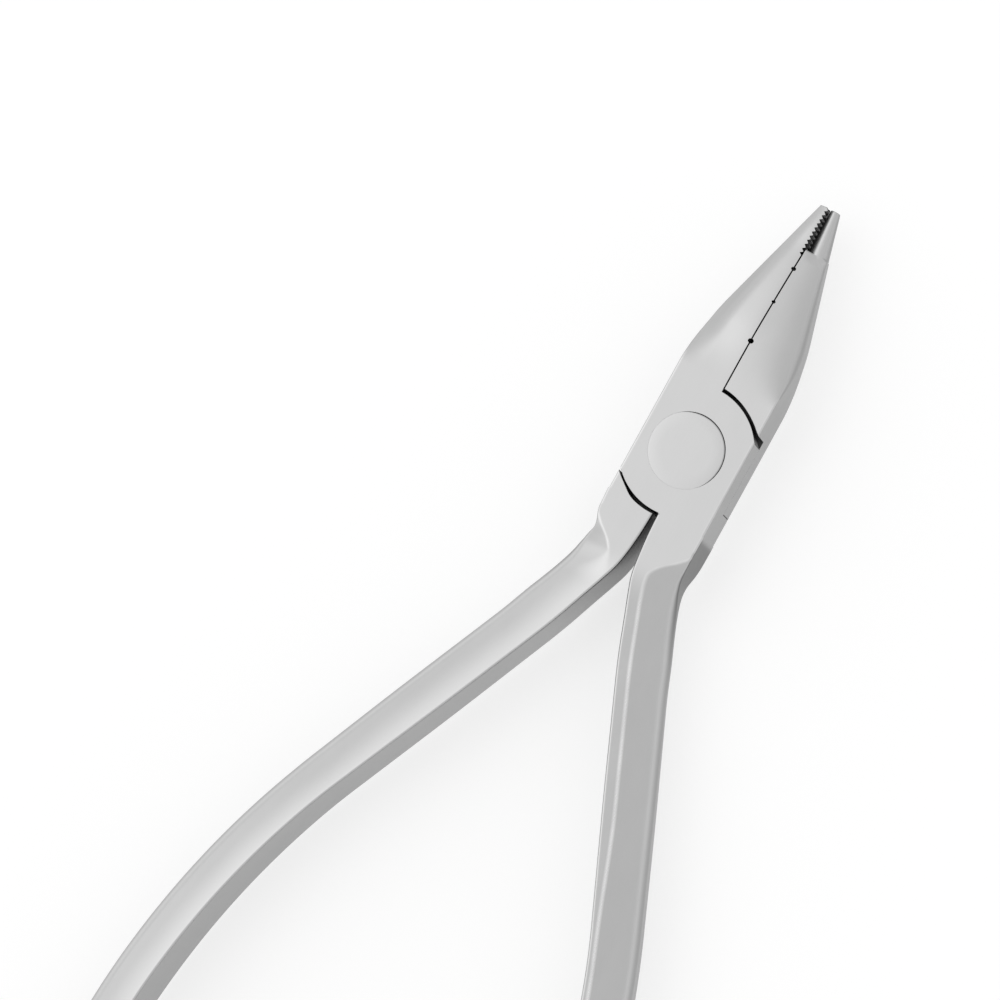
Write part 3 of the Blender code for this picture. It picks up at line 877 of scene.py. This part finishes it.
def makeCamera():
    normal = np.array([math.tan(math.radians(camera["tiltX"])), math.tan(math.radians(camera["tiltY"])), 1.0])
    normal /= np.linalg.norm(normal)
    up = np.array([0.0, 1.0, 0.0])
    up -= (up @ normal) * normal
    up /= np.linalg.norm(up)
    right = np.cross(up, normal)
    c, s = math.cos(math.radians(camera["roll"])), math.sin(math.radians(camera["roll"]))
    pictureRight, pictureUp = c * right + s * up, -s * right + c * up
    aim = np.array([*camera["aim"], 2 * midZ])
    place = (aim + camera["distance"] * normal) * millimetre
    data = bpy.data.cameras.new("camera")
    data.sensor_width = camera["sensor"]
    data.sensor_fit = "HORIZONTAL"
    data.lens = camera["scale"] * camera["distance"] / camera["pictureSize"] * camera["sensor"]
    data.clip_start, data.clip_end = camera["clip"]
    holder = bpy.data.objects.new("camera", data)
    matrix = np.eye(4)
    matrix[:3, 0], matrix[:3, 1], matrix[:3, 2], matrix[:3, 3] = pictureRight, pictureUp, normal, place
    holder.matrix_world = Matrix(matrix.tolist())
    bpy.context.scene.collection.objects.link(holder)
    bpy.context.scene.camera = holder


light = {
    "softest": 0.70,                  # the studio's level away from the light
    "lobe": 0.62,                     # what the broad soft light adds at its middle
    "lobePower": 12.0,
    "lobePlace": (-0.616, -0.05, 0.786),
    "floor": 0.42,
    "floorGlow": 0.655,               # the floor's light for camera, glossy and transmission rays
    "floorHalf": 2.0,
    "floorDrop": 0.00002,             # metres below the pliers
    "key": {"place": (-0.42, 0.05, 0.55), "size": 0.50, "power": 0.06},
}


def makeLamp(name, values):
    data = bpy.data.lights.new(name, "AREA")
    data.shape = "DISK"
    data.size = values["size"]
    data.energy = values["power"]
    holder = bpy.data.objects.new(name, data)
    place = np.array(values["place"])
    away = place / np.linalg.norm(place)
    side = np.cross([0.0, 1.0, 0.0], away)
    side /= np.linalg.norm(side)
    matrix = np.eye(4)
    matrix[:3, 0], matrix[:3, 1], matrix[:3, 2], matrix[:3, 3] = side, np.cross(away, side), away, place
    holder.matrix_world = Matrix(matrix.tolist())
    bpy.context.scene.collection.objects.link(holder)


def makeStudio():
    world = bpy.data.worlds.new("studio")
    bpy.context.scene.world = world
    tree = Tree(world)
    cameraRay = tree.add("ShaderNodeLightPath", output=0)
    direction = tree.add("ShaderNodeTexCoord", output=0)
    towards = tree.add("ShaderNodeVectorMath", {"operation": "DOT_PRODUCT"}, direction, light["lobePlace"],
                       output=1)
    soft = light["softest"] + light["lobe"] * (towards * 0.5 + 0.5) ** light["lobePower"]
    strength = soft * (1 - cameraRay) + cameraRay
    back = tree.add("ShaderNodeBackground", {}, (1.0, 1.0, 1.0, 1.0), strength)
    tree.add("ShaderNodeOutputWorld", {}, back)
    makeLamp("key", light["key"])
    low = cadBox[0][2] - light["floorDrop"]
    half = light["floorHalf"]
    corners = [(-half, -half, low), (half, -half, low), (half, half, low), (-half, half, low)]
    mesh = bpy.data.meshes.new("floor")
    mesh.from_pydata(corners, [], [(0, 1, 2, 3)])
    floor = bpy.data.objects.new("floor", mesh)
    bpy.context.scene.collection.objects.link(floor)
    material = bpy.data.materials.new("floorPaint")
    tree = Tree(material)
    cameraRay = tree.add("ShaderNodeLightPath", output=0)
    glossyRay = tree.add("ShaderNodeLightPath", output=3)
    passingRay = tree.add("ShaderNodeLightPath", output=6)
    seen = cameraRay.maths("MAXIMUM", glossyRay.maths("MAXIMUM", passingRay))
    paint = tree.add("ShaderNodeBsdfDiffuse", {}, (light["floor"],) * 3 + (1.0,))
    glow = tree.add("ShaderNodeEmission", {}, (1.0, 1.0, 1.0, 1.0), seen * light["floorGlow"])
    both = tree.add("ShaderNodeAddShader", {}, paint, glow)
    tree.add("ShaderNodeOutputMaterial", {}, both)
    floor.data.materials.append(material)


satin = satinSteel("satinSteel", steel["grey"], steel["roughness"])
ground = satinSteel("groundSteel", steel["grey"] * steel["screwGrey"], steel["roughness"] - steel["screwRough"])
frontPiece, rearPiece, screwPiece = makeFrontHalf(), makeRearHalf(), makePivotScrew()
frontPiece.data.materials.append(satin)
rearPiece.data.materials.append(satin)
screwPiece.data.materials.append(ground)
print("pieces and materials made")

makeCamera()
makeStudio()
bpy.context.scene.view_settings.view_transform = "Standard"
print("camera, light and floor made")
